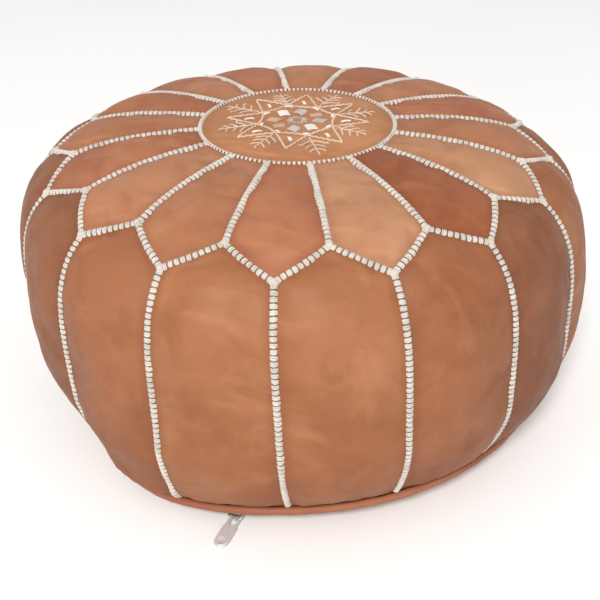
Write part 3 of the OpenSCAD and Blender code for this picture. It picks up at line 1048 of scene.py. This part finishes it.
def make_filling():
    """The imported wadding, seen only if the cover is opened."""
    rows, spokes = 60, 128
    theta = full_turn(spokes)[None, :]
    arc = np.linspace(4 * MM, RIM_ARC, rows)[:, None]
    shell, normals = on_outline(arc, theta)
    shell = shell + normals * (-8 * MM + 1.6 * MM * lumps(shell, 40 * MM, 31))[..., None]
    radii = np.linspace(1, 0.02, 24)[:, None] * (BASE_R - 12 * MM)
    x, y = radii * np.cos(theta), radii * np.sin(theta)
    over_zip = np.clip(2 - np.abs(x) / (15 * MM), 0, 1)
    z = np.maximum(base_height(x, y) + 3 * MM, 16 * MM * over_zip)
    points = settle(np.concatenate([shell, np.stack([x, y, z], -1)]))
    faces = [list(f) for f in grid_faces(len(points), spokes, wrap=True)]
    last = (len(points) - 1) * spokes
    faces += [list(range(spokes)), list(range(last, last + spokes))[::-1]]
    material = cloth_material("cotton_wadding", rgb(226, 218, 202), 1400.0, 0.95)
    obj = new_mesh("cotton_filling", points, faces, material)
    declare(obj, "stuffing")


# ---- zip ----

def inwards(outline):
    """Directions into an anticlockwise outline, at each of its points."""
    tangent = unit(np.roll(outline, -1, 0) - np.roll(outline, 1, 0))
    return np.stack([-tangent[:, 1], tangent[:, 0]], -1)


def stacked(rings):
    """The points of plan rings, given with their heights, and the faces between them."""
    points = [np.column_stack([ring, np.full(len(ring), z)]) for ring, z in rings]
    faces = grid_faces(len(rings), len(points[0]), wrap=True)
    return np.concatenate(points), faces[:, ::-1].tolist()


def extruded(outline, levels, move=(0, 0, 0)):
    """A closed solid from a plan outline: rings at (z, inset) levels from the bottom up."""
    outline = np.asarray(outline, float)
    inward = inwards(outline)
    points, faces = stacked([(outline + inward * inset, z) for z, inset in levels])
    n = len(outline)
    faces += [list(range(n))[::-1], list(range(len(points) - n, len(points)))]
    return points + np.array(move), faces


def joined(parts):
    """Several (points, faces) parts as one list of points and one of faces."""
    points, faces, start = [], [], 0
    for part_points, part_faces in parts:
        points.append(part_points)
        faces += [[start + i for i in face] for face in part_faces]
        start += len(part_points)
    return np.concatenate(points), faces


def shade_flat_edges(obj, angle=35):
    """Smooth shading that keeps edges sharper than the angle."""
    obj.data.set_sharp_from_angle(angle=math.radians(angle))


TEETH_LOW, TEETH_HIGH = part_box("zip_teeth_right")
TOOTH_PITCH = 3 * MM
TAPE_LOW, TAPE_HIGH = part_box("zip_tape_right")


def tooth_outline(side):
    """Plan of one tooth that grips the tape and reaches just past the middle."""
    half = [(-4.3, 0.50), (-3.2, 0.66), (-1.2, 0.66), (-0.5, 0.42), (0.1, 0.52), (0.55, 0.40), (0.72, 0.0)]
    points = half + [(x, -y) for x, y in half[-2::-1]]
    points = np.array([(-x * side, y) for x, y in points]) * MM
    area = np.sum(points[:, 0] * np.roll(points[:, 1], -1) - points[:, 1] * np.roll(points[:, 0], -1))
    return points if area > 0 else points[::-1]


def make_teeth(material):
    """Two rows of moulded teeth, half a pitch apart."""
    bottom, top, chamfer = TEETH_LOW.z, TEETH_HIGH.z, 0.28 * MM
    levels = [(bottom, chamfer), (bottom + chamfer, 0), (top - chamfer, 0), (top, chamfer)]
    for side, label in SIDES:
        start = TEETH_LOW.y + TOOTH_PITCH * (0.3 if side > 0 else 0.8)
        places = np.arange(start, TEETH_HIGH.y - 0.8 * MM, TOOTH_PITCH)
        parts = [extruded(tooth_outline(side), levels, (0, y, 0)) for y in places]
        obj = new_mesh(f"zip_teeth_row_{label}", *joined(parts), material)
        shade_flat_edges(obj)
        declare(obj, f"zip_teeth_{label}")


def make_tapes(material):
    """The woven tapes: a beaded edge at the teeth and a flange that lies on the base."""
    section = [
        (3.2, 8.4), (5.2, 8.4), (7.5, 8.2), (9.5, 7.4), (10.8, 5.8), (11.8, 3.8), (13, 2.6), (17, 2.3),
        (21.8, 2.3),
    ]
    across, height = np.array(section).T * MM
    flange = np.clip((across - 6 * MM) / (6 * MM), 0, 1)
    front, end = TAPE_LOW.y + 0.5 * MM, TAPE_HIGH.y - 0.5 * MM
    front = front + flange * (-np.sqrt((BASE_R - 3.5 * MM) ** 2 - across ** 2) - front)
    x, y = np.broadcast_arrays(across, front + (end - front) * np.linspace(0, 1, 260)[:, None])
    rise = (base_height(x, y) - 0.3 * MM) * flange
    ripple = 0.12 * MM * np.sin(y / (9 * MM)) * flange
    closing = np.clip((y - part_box("zip_bottom_stop")[1].y) / (6 * MM), 0, 1)
    x = x - closing * np.clip(7.5 * MM - x, 0, 3 * MM)
    faces = grid_faces(*x.shape)
    for side, label in SIDES:
        points = np.stack([side * x, y, height + rise + ripple], -1)
        obj = new_mesh(f"zip_tape_woven_{label}", points, faces[:, ::side], material)
        subdivide(obj)
        thicken(obj, 0.55 * MM, 0)
        declare(obj, f"zip_tape_{label}")


SLIDER_LOW, SLIDER_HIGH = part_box("zip_slider")
BODY_LOW = SLIDER_LOW.z + 3.8 * MM  # underside of the slider's lower plate
PLATE_T = 1.3 * MM
BODY_FRONT = SLIDER_LOW.y + 1.3 * MM


def slider_outline():
    """Plan of a slider plate: wide rounded shoulders in front, narrower behind."""
    length = SLIDER_HIGH.y - BODY_FRONT
    t = np.linspace(0, 1, 15)
    width = SLIDER_HIGH.x * (1 - 0.16 * eased((t - 0.35) / 0.4))
    shoulders = rounded(t / 0.12) * 0.45 + 0.55
    tail = np.sqrt(1 - np.clip((t - 0.88) / 0.12, 0, 1) ** 2 * 0.7)
    right = list(zip(width * shoulders * tail, BODY_FRONT + t * length))
    left = [(-x, y) for x, y in right[::-1]]
    notch = [(0, BODY_FRONT + 2.6 * MM)]
    return right + left + notch


def make_slider(material):
    """The slider: two plates, their rails, the wedge between them and the lug."""
    chamfer, wall = 0.3 * MM, 1.1 * MM
    levels = [(0, chamfer), (chamfer, 0), (PLATE_T - chamfer, 0), (PLATE_T, chamfer)]
    parts = [extruded(slider_outline(), levels, (0, 0, z)) for z in (BODY_LOW, SLIDER_HIGH.z - PLATE_T)]
    front, back = BODY_FRONT + 9 * MM, SLIDER_HIGH.y - 1.2 * MM
    for side, _ in SIDES:
        middle = side * (SLIDER_HIGH.x - 0.5 * MM - wall) * 0.86
        left, right = middle - wall / 2, middle + wall / 2
        rail = [(left, front), (right, front), (right, back), (left, back)]
        for z in (BODY_LOW + PLATE_T - 0.1 * MM, SLIDER_HIGH.z - PLATE_T - 0.75 * MM):
            parts.append(extruded(rail, [(0, 0), (0.85 * MM, 0)], (0, 0, z)))
    wedge = [(-0.4, 1.5), (0.4, 1.5), (0.4, 6.2), (0, 7.0), (-0.4, 6.2)]
    wedge = [(x * MM, BODY_FRONT + y * MM) for x, y in wedge]
    depth = SLIDER_HIGH.z - BODY_LOW
    parts.append(extruded(wedge, [(0.2 * MM, 0), (depth - 0.2 * MM, 0)], (0, 0, BODY_LOW)))
    parts.append(slider_bridge())
    obj = new_mesh("zip_slider_body", *joined(parts), material)
    shade_flat_edges(obj)
    declare(obj, "zip_slider", "slider")


def slider_bridge():
    """The arched lug under the slider that the pull tab's bar hangs in."""
    front, back = SLIDER_LOW.y + 0.65 * MM, SLIDER_LOW.y + 10.3 * MM - 0.65 * MM
    top, low = BODY_LOW + 0.6 * MM, SLIDER_LOW.z + 0.65 * MM
    corner = 1.6 * MM
    turn = np.linspace(0, math.pi / 2, 7)
    path = [(front, top), (front, low + corner)]
    path += [(front + corner * (1 - math.cos(a)), low + corner * (1 - math.sin(a))) for a in turn[1:]]
    path += [(back - corner * (1 - math.sin(a)), low + corner * (1 - math.cos(a))) for a in turn]
    path += [(back, top)]
    line = np.array([(0, y, z) for y, z in path])[None]
    return tube_mesh(line, np.array([[1.0, 0, 0]]), 1.3 * MM, 0.65 * MM, 12)[:2]


TAB_LOW, TAB_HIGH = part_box("zip_pull_tab")
PIVOT = next(joint["pos_m"] for joint in frame["joints"] if joint["name"] == "pull_swing")
TAB_T = 1.8 * MM
TAB_W = TAB_HIGH.x - TAB_LOW.x
TAB_TILT = math.radians(3.6)
TAB_ASKEW = math.radians(-7.2)  # the loose tab lies turned to the left on its bar
TAB_L = (PIVOT[1] - TAB_LOW.y) / math.cos(TAB_TILT)
ROOT_Y = 0.9 * MM  # the root lies this far behind the bar's middle


def tab_half_width(t):
    """Half the width of the tab at share t of its length: waisted at the eye, round at the tip."""
    half = TAB_W / 2
    waist = half * (0.80 + 0.20 * eased((t - 0.24) / 0.16))
    root = np.maximum(rounded(t / 0.06), math.sqrt(0.12))
    tip = rounded((1 - t) * TAB_L / half)
    return waist * np.minimum(root, tip)


def tab_outline(start=0.0, inset=0.0):
    """Plan of the tab from its root at y = 0 along -Y, anticlockwise."""
    round_part = 1 - 0.16 * np.cos(np.linspace(0, math.pi / 2, 13))[1:]
    t = np.minimum(np.concatenate([np.linspace(start, 0.84, 22), round_part]), 1)
    x = np.maximum(tab_half_width(t) - inset, 0.05 * MM)
    y = ROOT_Y - t * (TAB_L + ROOT_Y) + np.where(t > 0.9, inset, 0) * (t - 0.9) / 0.1
    return np.stack([np.append(-x, x[::-1]), np.append(y, y[::-1])], -1)


def tab_plate():
    """The tab's plate with the eye through its root."""
    outline = tab_outline()
    eye_middle = np.array([0, -4.9 * MM])
    eye_x, eye_y = 2.6 * MM, 4.2 * MM
    away = unit(outline - eye_middle)
    reach = (np.abs(away[:, 0] / eye_x) ** 4 + np.abs(away[:, 1] / eye_y) ** 4) ** -0.25
    eye = eye_middle + away * reach[:, None]
    half, chamfer, worn = TAB_T / 2, 0.35 * MM, 0.3 * MM
    inset, widened = outline + inwards(outline) * chamfer, eye + away * 0.2 * MM
    points, faces = stacked([
        (inset, -half), (outline, -half + chamfer), (outline, half - chamfer), (inset, half),
        (widened, half), (eye, half - worn), (eye, -half + worn), (widened, -half),
    ])
    n = len(outline)
    last = len(points) - n
    faces += [[last + j, last + (j + 1) % n, (j + 1) % n, j] for j in range(n)]
    return points, faces


def make_tab(material):
    """The pull tab: plate, raised panel on both faces, round boss at the tip and its hinge bar."""
    half = TAB_T / 2
    turn = full_turn(36)
    boss = on_circle(TAB_W / 2 - 1.5 * MM, turn, 0)[:, :2] + [0, TAB_W / 2 - TAB_L]
    panel_levels = [(-0.2, 0), (0.30, 0.35)]  # mm above the plate's face, mm inset
    boss_levels = [(0, 0), (0.45, 0), (0.6, 0.2), (0.6, 0.8), (0.45, 1.1)]
    parts = [tab_plate()]
    for face in (-1, 1):
        for outline, steps in ((tab_outline(0.40, 1.3 * MM), panel_levels), (boss, boss_levels)):
            levels = [(face * (half + rise * MM), inset * MM) for rise, inset in steps]
            parts.append(extruded(outline, levels[::face]))
    reach = TAB_W / 2 - 0.9 * MM
    bar = np.array([[(-reach, 0, 0), (0, 0, 0), (reach, 0, 0)]])
    parts.append(tube_mesh(bar, np.array([[0, 1.0, 0]]), half, half, 14)[:2])
    points, faces = joined(parts)
    turn = Matrix.Rotation(TAB_ASKEW, 4, "Z") @ Matrix.Rotation(TAB_TILT, 4, "X")
    turn = np.array(Matrix.Translation(Vector(PIVOT)) @ turn)
    points = points @ turn[:3, :3].T + turn[:3, 3]
    obj = new_mesh("zip_pull", points, faces, material)
    shade_flat_edges(obj, 30)
    declare(obj, "zip_pull_tab", "pull_tab")


def make_zip():
    """The zip's pieces, and a better metal for the stops, which stay CAD nodes."""
    steel = metal_material("zip_metal", rgb(198, 195, 187), 0.34)
    nickel = metal_material("slider_metal", rgb(222, 221, 218), 0.42, 0.4)
    make_teeth(steel)
    make_tapes(cloth_material("zip_tape", rgb(150, 112, 84), 5200.0))
    make_slider(nickel)
    make_tab(nickel)
    for node in ("zip_top_stops", "zip_bottom_stop"):
        for slot in frame["nodes"][node].material_slots:
            slot.material = steel


add_camera()
add_stage()
make_cover()
make_medallion()
make_stitches()
make_embroidery()
make_piping()
make_base()
make_filling()
make_zip()
